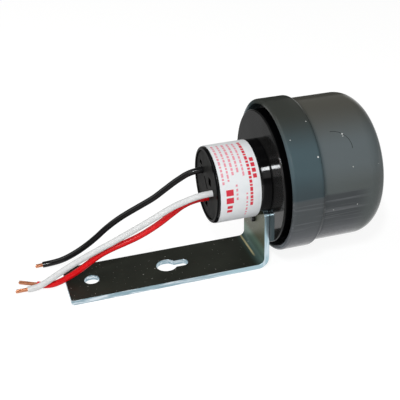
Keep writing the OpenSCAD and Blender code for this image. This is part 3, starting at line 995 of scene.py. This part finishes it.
@dataclass(frozen=True)
class Studio:
    """Pale floor, graded surroundings and soft lamps."""

    floor_half_m: float = 30.0
    floor_drop_mm: float = 0.05
    floor_glow: float = 0.88
    floor_colour: Colour = (0.8, 0.8, 0.8)
    floor_cloud: Colour = (0.82, 0.82, 0.82)
    floor_shade: Colour = (0.24, 0.24, 0.24)
    floor_clouds: Grain = Grain(60.0)
    floor_stops: Flat = (0.3, 0.7)
    floor_roughness: float = 0.9
    sky: tuple[tuple[float, Colour], ...] = (
        (0.0, (0.8, 0.8, 0.8)), (0.5, (0.7, 0.71, 0.7)), (0.58, (0.4, 0.4, 0.38)),
        (0.7, (0.19, 0.19, 0.17)), (1.0, (0.15, 0.15, 0.14)))
    across: tuple[Flat, ...] = ((-1.0, 0.8), (0.366, 0.8), (0.388, 2.0), (0.6, 1.6), (1.0, 0.6))
    lamps: tuple[Lamp, ...] = (
        Lamp("key", (-131.0, -472.0, 548.0), (98.0, -17.0, 65.0), (34.0, 110.0), 2.2, (0.95, 0.98, 1.0)),
        Lamp("ceiling", (-700.0, 100.0, 1000.0), (60.0, 0.0, 40.0), (900.0, 1100.0), 6.0),
        Lamp("front", (-250.0, -1000.0, 650.0), (60.0, 0.0, 40.0), (500.0, 500.0), 2.4),
    )

    def build(self) -> None:
        """Makes the lamps, the surroundings and the floor."""
        for lamp in self.lamps:
            lamp.build()
        self.surroundings()
        self.floor()
        LOG.info("studio, %d lamps", len(self.lamps))

    def surroundings(self) -> None:
        """Grades the world from a pale horizon to a dim ceiling, with a paler wall on the right."""
        world = bpy.data.worlds.new("studio")
        bpy.context.scene.world = world
        world.use_nodes = True
        background = world.node_tree.nodes["Background"]
        nodes = Nodes(world.node_tree, "Generated")
        x, _, z = nodes.axes()
        right, rise = (nodes.step(axis, -1.0, 1.0, 1.0, "LINEAR") for axis in (x, z))
        nodes.feed(background.inputs["Color"], nodes.ramp(rise, self.sky))
        level = nodes.node("ShaderNodeFloatCurve")
        nodes.feed(level.inputs["Value"], right)
        nodes.feed(background.inputs["Strength"], level.outputs["Value"])
        curve = level.mapping.curves[0]
        level.mapping.use_clip = False
        while len(curve.points) < len(self.across):
            curve.points.new(0.5, 0.5)
        for point, (place, strength) in zip(curve.points, self.across):
            point.location = ((place + 1.0) / 2.0, strength)
            point.handle_type = "VECTOR"
        level.mapping.update()

    def floor(self) -> bpy.types.Object:
        """Makes the floor, which looks white but keeps the object's shadow.

        Returns:
            The floor.
        """
        build = bmesh.new()
        half = self.floor_half_m
        corners = [(-half, -half), (half, -half), (half, half), (-half, half)]
        build.faces.new([build.verts.new((x, y, -self.floor_drop_mm * MM)) for x, y in corners])
        shading = Shading("studio_floor")
        tones = list(zip(self.floor_stops, (self.floor_colour, self.floor_cloud)))
        base = shading.ramp(shading.noise(self.floor_clouds), tones)
        path = shading.node("ShaderNodeLightPath")
        seen = shading.math("MAXIMUM", path.outputs["Is Camera Ray"], path.outputs["Is Glossy Ray"])
        seen = shading.math("MAXIMUM", seen, path.outputs["Is Transmission Ray"])
        shading.surface(
            Base_Color=shading.mix(seen, base, self.floor_shade),
            Roughness=self.floor_roughness,
            Specular_IOR_Level=0.0,
            Emission_Color=WHITE,
            Emission_Strength=shading.product(seen, self.floor_glow),
        )
        floor = add_object("floor", mesh_from("floor", build), [shading.material])
        return floor


@dataclass(frozen=True)
class Lead:
    """One insulated lead: its route in the part's frame, its finish and its stripped end."""

    colour: str
    finish: Insulation
    route: tuple[Point, ...]
    diameter: float = 3.6
    rounding: int = 6
    bare_l: float = 7.0
    strand_d: float = 0.74
    strand_count: int = 7
    strand_steps: int = 10
    strand_sides: int = 10
    strand_sunk: float = 0.4
    ragged: float = 0.25
    splay: float = 0.1
    lay_deg: float = 70.0
    sharp_deg: float = 60.0

    def length(self) -> float:
        """Gives the length of the route's straight stretches, in millimetres."""
        return sum(math.dist(a, b) for a, b in zip(self.route, self.route[1:]))

    def build(self, copper: bpy.types.Material, exit_x: float) -> None:
        """Args:
            copper: Material of the strands.
            exit_x: Distance of the stem's rear face along X, in millimetres; not used.
        """
        strands = self.strands(copper)
        curve = bpy.data.curves.new(f"{self.colour}_wire", "CURVE")
        curve.dimensions = "3D"
        curve.bevel_depth = self.diameter / 2.0 * MM
        curve.bevel_resolution = self.rounding
        curve.resolution_u = self.rounding
        curve.use_fill_caps = True
        spline = curve.splines.new("BEZIER")
        spline.bezier_points.add(len(self.route) - 1)
        for knot, place in zip(spline.bezier_points, self.route):
            knot.co = Vector(place) * MM
            knot.handle_left_type = "AUTO"
            knot.handle_right_type = "AUTO"
        curve.materials.append(self.finish.build())
        wire = in_scene(f"{self.colour}_wire", curve)
        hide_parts(f"{self.colour}_lead")
        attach(wire, Body.RECEPTACLE.value)
        self.length() * MM
        LOG.info("%s lead, %.0f mm", self.colour, self.length())

    def strands(self, copper: bpy.types.Material) -> bpy.types.Object:
        """Twists the copper strands that stand out of the lead's end.

        Args:
            copper: Their material.

        Returns:
            The strands as one piece.
        """
        end = Vector(self.route[-1])
        ahead = (end - Vector(self.route[-2])).normalized()
        side, up = sides_of(ahead)
        build = bmesh.new()
        # One strand is straight in the middle. The others end and splay unevenly, in a fixed pattern.
        for k in range(self.strand_count):
            ring = 0.0 if k == 0 else self.strand_d
            long = self.bare_l + self.strand_sunk - self.ragged * ((k * 3) % 4)
            path = []
            for i in range(self.strand_steps + 1):
                share = i / self.strand_steps
                turn = math.radians(360.0 / (self.strand_count - 1) * k + self.lay_deg * share)
                spread = ring * (1.0 + self.splay * share * ((k * 2) % 3))
                middle = end + ahead * (long * share - self.strand_sunk)
                path.append((middle + spread * (math.cos(turn) * side + math.sin(turn) * up)) * MM)
            sweep(build, path, self.strand_d / 2.0 * MM, self.strand_sides)
        mesh = mesh_from(f"{self.colour}_copper", build)
        piece = add_object(f"{self.colour}_copper", mesh, [copper], self.sharp_deg)
        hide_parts(f"{self.colour}_strands")
        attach(piece, Body.RECEPTACLE.value)
        return piece


@dataclass(frozen=True)
class Harness:
    """The three leads and their copper."""

    exit_x: float = 69.4
    copper: BareMetal = BareMetal("copper_strands", (0.62, 0.27, 0.15), (0.46, 0.2, 0.11), 0.34)
    black: Lead = Lead(
        "black", Insulation("black_insulation", (0.006, 0.006, 0.0065), (0.01, 0.01, 0.0105), 0.16, 0.22), (
            (86, 8, 57), (77.7, 8, 57), (69.4, 8, 57), (63, 9, 55.8), (56, 10.5, 51.8), (49, 12, 46.6),
            (42, 13, 41.6), (35, 14.5, 37.4), (28, 16, 33.4), (21, 17.5, 29), (14, 19, 23.6),
            (7, 20.5, 17.2), (0, 22, 11.6), (-7, 23, 7.4), (-13, 24.4, 4.4), (-18.5, 26, 2.6),
            (-24.4, 26.6, 2)), bare_l=4.4)
    white: Lead = Lead(
        "white", Insulation("white_insulation", (0.74, 0.74, 0.74), (0.68, 0.68, 0.685), 0.4, 0.25), (
            (86, -9.5, 50.5), (77.7, -9.5, 50.5), (69.4, -9.5, 50.5), (62, -9, 49.8), (55, -8, 47.6),
            (48, -7, 44.8), (41, -6, 41), (34, -5, 37), (27, -4, 33.2), (20, -3, 29.6), (13, -2.4, 26.2),
            (6, -1.6, 23), (-1, -0.8, 19.6), (-8, 0, 16), (-15, 0.8, 12), (-22, 1.6, 7.8), (-25.5, 2, 5.6),
            (-28.5, 2.5, 3.9), (-31, 3, 2.8), (-33.5, 3.5, 2.2), (-35.8, 3.8, 2)))
    red: Lead = Lead(
        "red", Insulation("red_insulation", (0.82, 0.004, 0.008), (0.7, 0.003, 0.006), 0.28, 0.25), (
            (86, -1.5, 44), (77.7, -1.5, 44), (69.4, -1.5, 44), (63, -1.4, 43.6), (56, -1.2, 41.6),
            (49, -0.9, 37.3), (42, -0.6, 32.6), (35, -0.3, 28.6), (28, 0, 25.4), (21, 0.3, 23),
            (14, 0.6, 20.8), (7, 0.9, 18), (0, 1.3, 13.8), (-7, 1.8, 9.2), (-13, 2.2, 6), (-18, 2.6, 3.8),
            (-22.5, 3.4, 2.5), (-26.5, 5, 2), (-30, 7, 2)), bare_l=11.6)

    def build(self) -> None:
        """Lays all three leads."""
        copper = self.copper.build()
        for lead in (self.black, self.white, self.red):
            lead.build(copper, self.exit_x)


@dataclass(frozen=True)
class Bracket:
    """Bent strip with softened edges, made flat and then folded."""

    width: float = 35.0
    thickness: float = 3.0
    free_end: float = -14.6
    upright_x: float = 98.4
    axis_h: float = 51.3
    bend_r: float = 3.5
    corner_r: float = 1.5
    edge_r: float = 0.2
    fix_r: float = 4.25
    key_r: float = 6.0
    key_x: float = 44.2
    key_slot_r: float = 3.2
    key_reach: float = 9.7
    top_v: float = -15.6
    top_corner_r: float = 3.0
    cradle_r: float = 16.5
    bend_steps: int = 16
    corner_steps: int = 6
    top_steps: int = 10
    cradle_steps: int = 16
    slot_steps: int = 20
    hole_steps: int = 48
    face_tilt: float = 0.8
    face: StripFace = StripFace()
    edge: PlatedStrip = PlatedStrip()

    def bend_start(self) -> float:
        """Gives the distance along the flat strip where its bend begins."""
        return self.upright_x - self.bend_r

    def bend_length(self) -> float:
        """Gives the flat length of the bend, along its middle."""
        return (self.bend_r + self.thickness / 2.0) * math.pi / 2.0

    def flat_height(self, v: float) -> float:
        """Gives the distance along the flat strip of a height on the upright, from the stem's axis."""
        above = v + self.axis_h - self.thickness - self.bend_r
        return self.bend_start() + self.bend_length() + above

    def outline(self) -> list[Flat]:
        """Draws the strip's flat outline, with rounded corners and a hollow for the stem.

        Returns:
            Distances along and across, in order.
        """
        half, corner, shoulder = self.width / 2.0, self.corner_r, self.top_corner_r
        top = arc((half - shoulder, self.top_v - shoulder), shoulder, 0.0, 90.0, self.top_steps)
        line = arc((self.free_end + corner, corner - half), corner, 180.0, 270.0, self.corner_steps)
        line += self.on_upright(top, -1.0)
        line += self.on_upright(self.hollow(), -1.0)
        line += self.on_upright(top[::-1], 1.0)
        line += arc((self.free_end + corner, half - corner), corner, 90.0, 180.0, self.corner_steps)
        return line

    def hollow(self) -> list[Flat]:
        """Draws the round hollow in the upright's top, across and up from the axis."""
        turn = math.degrees(math.asin(self.top_v / self.cradle_r))
        return arc((0.0, 0.0), self.cradle_r, turn, -180.0 - turn, self.cradle_steps)

    def on_upright(self, points: Sequence[Flat], side: float) -> list[Flat]:
        """Moves points, across and up from the axis, to the flat strip, on its near (-1) or far side (1)."""
        return [(self.flat_height(v), side * u) for u, v in points]

    def holes(self) -> list[list[Flat]]:
        """Draws the fixing hole and the keyhole.

        Returns:
            Both outlines.
        """
        opening = math.degrees(math.asin(self.key_slot_r / self.key_r))
        key = arc((self.key_x, 0.0), self.key_r, opening, 360.0 - opening, self.hole_steps)
        key += arc((self.key_x + self.key_reach, 0.0), self.key_slot_r, -90.0, 90.0, self.slot_steps)
        return [arc((0.0, 0.0), self.fix_r, 360.0, 0.0, self.hole_steps)[:-1], key[::-1]]

    def folded(self, place: Vector) -> Vector:
        """Folds a point of the flat strip.

        Args:
            place: Distance along, distance across and height in the strip.

        Returns:
            The point in the part's frame, in metres.
        """
        along = place.x - self.bend_start()
        depth = self.thickness - place.z
        if along <= 0.0:
            return Vector((place.x, place.y, place.z)) * MM
        if along >= self.bend_length():
            rise = self.thickness + self.bend_r + along - self.bend_length()
            return Vector((self.upright_x + depth, place.y, rise)) * MM
        turn = along / (self.bend_r + self.thickness / 2.0)
        reach = self.bend_r + depth
        x = self.bend_start() + reach * math.sin(turn)
        return Vector((x, place.y, self.thickness + self.bend_r - reach * math.cos(turn))) * MM

    def build(self) -> bpy.types.Object:
        """Cuts the strip, folds it and dresses its faces and its sheared edges.

        Returns:
            The bracket.
        """
        flat = plate("steel_bracket", [self.outline(), *self.holes()], self.thickness, self.edge_r)
        build = bmesh.new()
        build.from_mesh(flat)
        bpy.data.meshes.remove(flat)
        for step in range(self.bend_steps + 1):
            cut = self.bend_start() + self.bend_length() * step / self.bend_steps
            parts = build.verts[:] + build.edges[:] + build.faces[:]
            bmesh.ops.bisect_plane(build, geom=parts, plane_co=(cut, 0.0, 0.0), plane_no=(1.0, 0.0, 0.0))
        build.normal_update()
        for face in build.faces:
            face.material_index = 0 if abs(face.normal.z) > self.face_tilt else 1
        for vert in build.verts:
            vert.co = self.folded(vert.co)
        mesh = mesh_from("steel_bracket", build)
        piece = add_object("steel_bracket", mesh, [self.face.build(), self.edge.build()])
        piece.modifiers.new("flat_faces", "WEIGHTED_NORMAL").keep_sharp = True
        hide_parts("bracket")
        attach(piece, Body.RECEPTACLE.value)
        LOG.info("bracket, %d faces", len(mesh.polygons))
        return piece


@dataclass(frozen=True)
class RearCap:
    """Sunk cap in the stem's rear, with lead openings and moulded recesses."""

    radius: float = 19.7
    rear_h: float = -28.4
    depth: float = 3.0
    recess_depth: float = 1.6
    edge_r: float = 0.25
    port_r: float = 2.05
    ports: tuple[Flat, ...] = ((8.0, 5.7), (-9.5, -0.8), (-1.5, -7.3))
    recesses: tuple[tuple[Flat, Flat, float], ...] = (
        ((10.4, 9.6), (3.6, 2.0), 0.0), ((1.8, -12.6), (3.8, 2.6), 0.0),
        ((-5.6, 4.4), (4.0, 4.2), 0.0), ((1.6, 0.6), (1.3, 7.6), -40.0))
    recess_r: float = 0.35
    rim_steps: int = 128
    port_steps: int = 32
    corner_steps: int = 4
    wall_tilt: float = 0.9
    rim_band: float = 1.0
    finish: Plastic = Plastic("satin_cap", (0.013, 0.013, 0.0128), (0.027, 0.027, 0.0255), 0.42, 0.01)
    # Painted shade: the recesses' walls and floor are near black.
    recess_shade: Plastic = Plastic("recess_painted_shade", (0.001, 0.001, 0.001), (0.002, 0.002, 0.002), 0.7, 0.0)

    def recess_outline(self, centre: Flat, size: Flat, turn: float) -> list[Flat]:
        """Draws a recess with rounded corners.

        Args:
            centre: Its centre, across and up from the axis.
            size: Its width and height.
            turn: Its turn, in degrees.

        Returns:
            The outline.
        """
        r = self.recess_r
        half = (size[0] / 2.0 - r, size[1] / 2.0 - r)
        line: list[Flat] = []
        for start, (sx, sy) in zip((0.0, 90.0, 180.0, 270.0), ((1, 1), (-1, 1), (-1, -1), (1, -1))):
            line += arc((sx * half[0], sy * half[1]), r, start, start + 90.0, self.corner_steps)
        c, s = math.cos(math.radians(turn)), math.sin(math.radians(turn))
        return [(centre[0] + x * c - y * s, centre[1] + x * s + y * c) for x, y in line]

    def layer(self, axis: StemAxis, outlines: list[list[Flat]], levels: Flat,
              build: bmesh.types.BMesh) -> None:
        """Adds one plate of the cap.

        Args:
            axis: The stem's axis.
            outlines: The plate's outline and its holes.
            levels: Its rear and its front level along the stem.
            build: Bmesh that takes it.
        """
        flat = plate("cap_layer", outlines, levels[1] - levels[0], self.edge_r)
        rear = (axis.x + levels[0]) * MM
        flat.transform(Matrix(((0, 0, MM, rear), (MM, 0, 0, 0), (0, MM, 0, axis.z * MM), (0, 0, 0, 1))))
        build.from_mesh(flat)
        bpy.data.meshes.remove(flat)

    def build(self, axis: StemAxis) -> bpy.types.Object:
        """Makes the cap from a pierced face and a floor behind its recesses.

        Args:
            axis: The stem's axis.

        Returns:
            The cap.
        """
        rim = arc((0.0, 0.0), self.radius, 0.0, 360.0, self.rim_steps)[:-1]
        ports = [arc(port, self.port_r, 360.0, 0.0, self.port_steps)[:-1] for port in self.ports]
        recesses = [self.recess_outline(*recess)[::-1] for recess in self.recesses]
        middle = self.rear_h + self.recess_depth
        build = bmesh.new()
        self.layer(axis, [rim, *ports, *recesses], (self.rear_h, middle), build)
        face_count = len(build.faces)
        self.layer(axis, [rim, *ports], (middle, self.rear_h + self.depth), build)
        build.normal_update()
        # The recesses' walls and the floor behind them get the painted shade.
        for number, face in enumerate(build.faces):
            place = face.calc_center_median()
            reach = math.hypot(place.y, place.z - axis.z * MM)
            wall = abs(face.normal.x) < self.wall_tilt and reach < (self.radius - self.rim_band) * MM
            face.material_index = int(wall or number >= face_count)
        mesh = mesh_from("moulded_rear_cap", build)
        piece = add_object("moulded_rear_cap", mesh, [self.finish.build(), self.recess_shade.build()])
        piece.modifiers.new("flat_faces", "WEIGHTED_NORMAL").keep_sharp = True
        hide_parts("rear_cap")
        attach(piece, Body.RECEPTACLE.value)
        LOG.info("rear cap, %d faces", len(mesh.polygons))
        return piece


class Ink(Enum):
    """The two strengths of print on the label."""

    BOLD = "bold"
    FINE = "fine"


@dataclass(frozen=True)
class PrintRow:
    """A row of plain bars round the label, in millimetres along the stem and degrees round it."""

    ink: Ink
    h: float
    height: float
    start: float
    stop: float
    bars: tuple[float, ...]
    gap: float = 1.4

    def spans(self) -> list[Flat]:
        """Takes the bars' lengths in turn until the row is full.

        Returns:
            The ends of each bar.
        """
        found: list[Flat] = []
        angle = self.start
        while angle + self.bars[len(found) % len(self.bars)] <= self.stop:
            end = angle + self.bars[len(found) % len(self.bars)]
            found.append((angle, end))
            angle = end + self.gap
        return found


@dataclass(frozen=True)
class Label:
    """Wrapped white label with rows of plain red bars."""

    inner_r: float = 22.02
    thickness: float = 0.15
    front_h: float = -3.8
    length: float = 23.5
    seam_deg: float = -60.0
    seam_gap_deg: float = 10.0
    ink_sunk: float = 0.02
    ink_lift: float = 0.03
    segments: int = 180
    paper: Paper = Paper("label_paper", (0.87, 0.88, 0.9), (0.81, 0.82, 0.85), 0.45)
    bold_ink: Paper = Paper("bold_red_ink", (0.72, 0.02, 0.045), (0.66, 0.05, 0.08), 0.5,
                            clouds=Grain(0.8, 4.0))
    fine_ink: Paper = Paper("fine_red_ink", (0.82, 0.27, 0.34), (0.86, 0.42, 0.48), 0.5,
                            clouds=Grain(0.8, 4.0))
    rows: tuple[PrintRow, ...] = (
        PrintRow(Ink.BOLD, -6.7, 2.2, 122.0, 154.0, (6.0,), 2.2),
        PrintRow(Ink.BOLD, -9.5, 1.6, 85.0, 198.0, (4.5, 3.0, 6.0, 3.6), 1.5),
        PrintRow(Ink.FINE, -13.0, 1.1, 86.0, 150.0, (6.0, 3.6, 4.6)),
        PrintRow(Ink.FINE, -12.2, 1.0, 172.0, 214.0, (2.6, 5.0, 3.0), 3.0),
        PrintRow(Ink.FINE, -16.0, 1.2, 85.0, 146.0, (5.0, 3.0, 7.0)),
        PrintRow(Ink.FINE, -19.0, 1.3, 85.0, 152.0, (7.0, 4.0, 5.0)),
        PrintRow(Ink.FINE, -17.8, 1.1, 158.0, 182.0, (3.0, 4.0), 3.0),
        PrintRow(Ink.FINE, -22.0, 1.1, 85.0, 157.0, (4.0, 6.0, 3.0)),
        PrintRow(Ink.FINE, -25.0, 1.2, 85.0, 158.0, (6.0, 3.0, 4.0), 1.7),
        PrintRow(Ink.BOLD, -22.0, 4.2, 164.0, 186.0, (9.0,), 3.0),
        PrintRow(Ink.BOLD, -22.0, 3.0, 189.0, 202.0, (5.0,), 2.4),
    )

    def patch(self, axis: StemAxis, build: bmesh.types.BMesh, radii: Flat, span_h: Flat,
              span_deg: Flat) -> None:
        """Adds a thin curved patch, closed all round.

        Args:
            axis: The stem's axis.
            build: Bmesh that takes it.
            radii: Its inner and outer radius.
            span_h: Its ends along the stem.
            span_deg: Its ends round the stem.
        """
        (inner, outer), (rear, front) = radii, span_h
        corners = [(inner, rear), (outer, rear), (outer, front), (inner, front)]
        steps = max(2, math.ceil((span_deg[1] - span_deg[0]) * self.segments / 360.0))
        rings = []
        for i in range(steps + 1):
            angle = span_deg[0] + (span_deg[1] - span_deg[0]) * i / steps
            rings.append([build.verts.new(axis.round(r, angle, h)) for r, h in corners])
        bridge(build, rings, capped=True)

    def build(self, axis: StemAxis) -> None:
        """Wraps the paper round the stem and lays the print on it.

        Args:
            axis: The stem's axis.
        """
        outer = self.inner_r + self.thickness
        build = bmesh.new()
        seam = (self.seam_deg + self.seam_gap_deg / 2.0, self.seam_deg + 360.0 - self.seam_gap_deg / 2.0)
        self.patch(axis, build, (self.inner_r, outer), (self.front_h - self.length, self.front_h), seam)
        sleeve = add_object("label_sleeve", mesh_from("label_sleeve", build), [self.paper.build()])
        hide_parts("label")
        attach(sleeve, Body.RECEPTACLE.value)
        for ink, finish in ((Ink.BOLD, self.bold_ink), (Ink.FINE, self.fine_ink)):
            build = bmesh.new()
            for row in self.rows:
                if row.ink is ink:
                    self.print_row(axis, build, row, outer)
            name = f"label_{ink.value}_bars"
            bars = add_object(name, mesh_from(name, build), [finish.build()])
            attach(bars, Body.RECEPTACLE.value)
        LOG.info("label, %d rows of bars", len(self.rows))

    def print_row(self, axis: StemAxis, build: bmesh.types.BMesh, row: PrintRow, outer: float) -> None:
        """Adds the bars of one row.

        Args:
            axis: The stem's axis.
            build: Bmesh that takes them.
            row: The row.
            outer: Radius of the paper's outside.
        """
        span_h = (row.h - row.height / 2.0, row.h + row.height / 2.0)
        for span in row.spans():
            self.patch(axis, build, (outer - self.ink_sunk, outer + self.ink_lift), span_h, span)


@dataclass(frozen=True)
class Cover:
    """Turned shell of the photocontrol: collar with a flat rim, curved shoulder and crowned cap."""

    collar_r: float = 43.75
    collar_wall: float = 2.8
    bore_edge_r: float = 0.7
    rim_edge_r: float = 1.7
    cap_step: float = 2.2
    cap_wall: float = 1.8
    rim_h: float = 6.3
    ledge_h: float = 19.0
    collar_h: float = 22.6
    shoulder_l: float = 3.6
    length: float = 60.2
    front_r: float = 13.0
    crown_r: float = 320.0
    segments: int = 288
    bore_steps: int = 7
    rim_steps: int = 12
    shoulder_steps: int = 10
    front_steps: int = 18
    crown_steps: int = 10
    finish: SmokedShell = SmokedShell()

    def crown(self, inset: float) -> list[Flat]:
        """Draws the cap's front edge and crown, from its side to the axis.

        Args:
            inset: Depth below the outside.

        Returns:
            Radius and distance along, in order.
        """
        r = self.collar_r - self.cap_step - inset
        edge = self.front_r - inset
        dome = self.crown_r - inset
        dome_h = self.rim_h + self.length - self.crown_r
        edge_h = dome_h + math.sqrt((dome - edge) ** 2 - (r - edge) ** 2)
        lean = math.degrees(math.atan2(r - edge, edge_h - dome_h))
        line = arc((r - edge, edge_h), edge, 0.0, 90.0 - lean, self.front_steps)
        line += arc((0.0, dome_h), dome, 90.0 - lean, 90.0, self.crown_steps)[1:-1]
        return line + [(0.0, dome_h + dome)]

    def outline(self) -> list[Flat]:
        """Draws the shell's whole section.

        Returns:
            Radius and distance along, in order.
        """
        inner, outer = self.bore_edge_r, self.rim_edge_r
        bore_r = self.collar_r - self.collar_wall
        cap_r = self.collar_r - self.cap_step
        cap_h = self.collar_h + self.shoulder_l
        bow_r = (self.shoulder_l ** 2 + self.cap_step ** 2) / (4.0 * self.cap_step)
        half = math.degrees(math.asin(self.shoulder_l / 2.0 / bow_r))
        line = arc((bore_r + inner, self.rim_h + inner), inner, 180.0, 270.0, self.bore_steps)
        line += arc((self.collar_r - outer, self.rim_h + outer), outer, 270.0, 360.0, self.rim_steps)
        line += arc((self.collar_r - bow_r, self.collar_h), bow_r, 0.0, half, self.shoulder_steps)
        line += arc((cap_r + bow_r, cap_h), bow_r, 180.0 + half, 180.0, self.shoulder_steps)[1:]
        line += self.crown(0.0)
        line += self.crown(self.cap_wall)[::-1]
        line += [(cap_r - self.cap_wall, self.ledge_h), (bore_r, self.ledge_h)]
        return line

    def build(self, axis: StemAxis) -> bpy.types.Object:
        """Turns the shell and dresses it.

        Args:
            axis: The stem's axis.

        Returns:
            The cover.
        """
        mesh = lathe("smoked_cover", axis, self.outline(), self.segments)
        piece = add_object("smoked_cover", mesh, [self.finish.build()])
        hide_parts("cover")
        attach(piece, Body.PHOTOCONTROL.value)
        LOG.info("cover, %d faces", len(mesh.polygons))
        return piece


@dataclass(frozen=True)
class SolidFinishes:
    """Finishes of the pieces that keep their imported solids."""

    stem: PolishedBlack = PolishedBlack(
        "gloss_black", (0.0015, 0.0015, 0.0018), (0.004, 0.004, 0.0045), 0.09, fade_mm=(69.6, 71.4),
        stop_mm=(100.5, 101.0), gloss=(0.01, 0.5))
    # The flange's side, in the gap under the collar, carries a painted shade.
    flange: PolishedBlack = PolishedBlack(
        "flange_black", (0.008, 0.008, 0.008), (0.016, 0.016, 0.016), 0.09, direction=(0.0, -0.5, -0.87),
        fade_mm=(-55.0, -50.0), stop_mm=(-45.0, -38.0), stop_share=0.7, gloss=(0.02, 0.45),
        gap_shade_mm=(101.9, 102.5))
    base: Plastic = Plastic("base_black", (0.008, 0.008, 0.009), (0.014, 0.014, 0.014), 0.4)
    foam: Plastic = Plastic("gasket_foam", (0.012, 0.012, 0.012), (0.025, 0.025, 0.025), 0.85, 0.2,
                            Grain(3.0, 4.0), relief=Grain(0.3, 2.0), depth_mm=0.05)
    brass: BareMetal = BareMetal("spring_brass", (0.66, 0.47, 0.2), (0.5, 0.34, 0.13), 0.28)
    screw: BareMetal = BareMetal("screw_steel", (0.03, 0.03, 0.03), (0.06, 0.06, 0.055), 0.35)
    laminate: Plastic = Plastic("board_laminate", (0.025, 0.13, 0.05), (0.035, 0.17, 0.06), 0.3, 0.5,
                                Grain(8.0, 4.0))
    relay: Plastic = Plastic("relay_case", (0.58, 0.56, 0.5), (0.66, 0.64, 0.58), 0.45)
    capacitor: Plastic = Plastic("capacitor_dip", (0.36, 0.045, 0.025), (0.45, 0.07, 0.04), 0.25, 0.5)
    varistor: Plastic = Plastic("varistor_dip", (0.02, 0.09, 0.32), (0.03, 0.12, 0.4), 0.3, 0.5)
    sensor: Plastic = Plastic("sensor_lacquer", (0.55, 0.28, 0.06), (0.66, 0.36, 0.1), 0.2, 0.5,
                              Grain(2.0, 4.0))

    def plan(self) -> list[tuple[Finish, tuple[str, ...]]]:
        """Lists each finish with the nodes that wear it.

        Returns:
            Pairs of a finish and its nodes.
        """
        return [
            (self.stem, ("receptacle_body",)),
            (self.flange, ("receptacle_face",)),
            (self.base, ("base",)),
            (self.foam, ("gasket",)),
            (self.brass, ("line_contact", "neutral_contact", "load_contact", "line_blade", "neutral_blade",
                          "load_blade")),
            (self.screw, ("bracket_screw", "clamp_screws", "board_screws")),
            (self.laminate, ("circuit_board",)),
            (self.relay, ("relay",)),
            (self.capacitor, ("capacitor",)),
            (self.varistor, ("varistor",)),
            (self.sensor, ("light_sensor",)),
        ]

    def dress(self, nodes: dict[str, bpy.types.Object]) -> None:
        """Gives each solid its material.

        Args:
            nodes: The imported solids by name.
        """
        for finish, names in self.plan():
            material = finish.build()
            for name in names:
                mesh = nodes[name].data
                mesh.materials.clear()
                mesh.materials.append(material)
            LOG.info("%s on %s", finish.name, ", ".join(names))


def main() -> None:
    """Builds the camera, the leads, the dressed pieces and the studio."""
    logging.basicConfig(level=logging.INFO, format="%(message)s")
    for item in list(bpy.data.objects):
        bpy.data.objects.remove(item)
    bpy.context.scene.view_settings.view_transform = "Standard"
    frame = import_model()
    pivot = frame["joints"][0]["pos_m"]
    axis = StemAxis(pivot[0] / MM, pivot[2] / MM)
    PhotoCamera().build()
    Harness().build()
    Bracket().build()
    RearCap().build(axis)
    Label().build(axis)
    Cover().build(axis)
    SolidFinishes().dress(frame["nodes"])
    Studio().build()


if __name__ == "__main__":
    main()
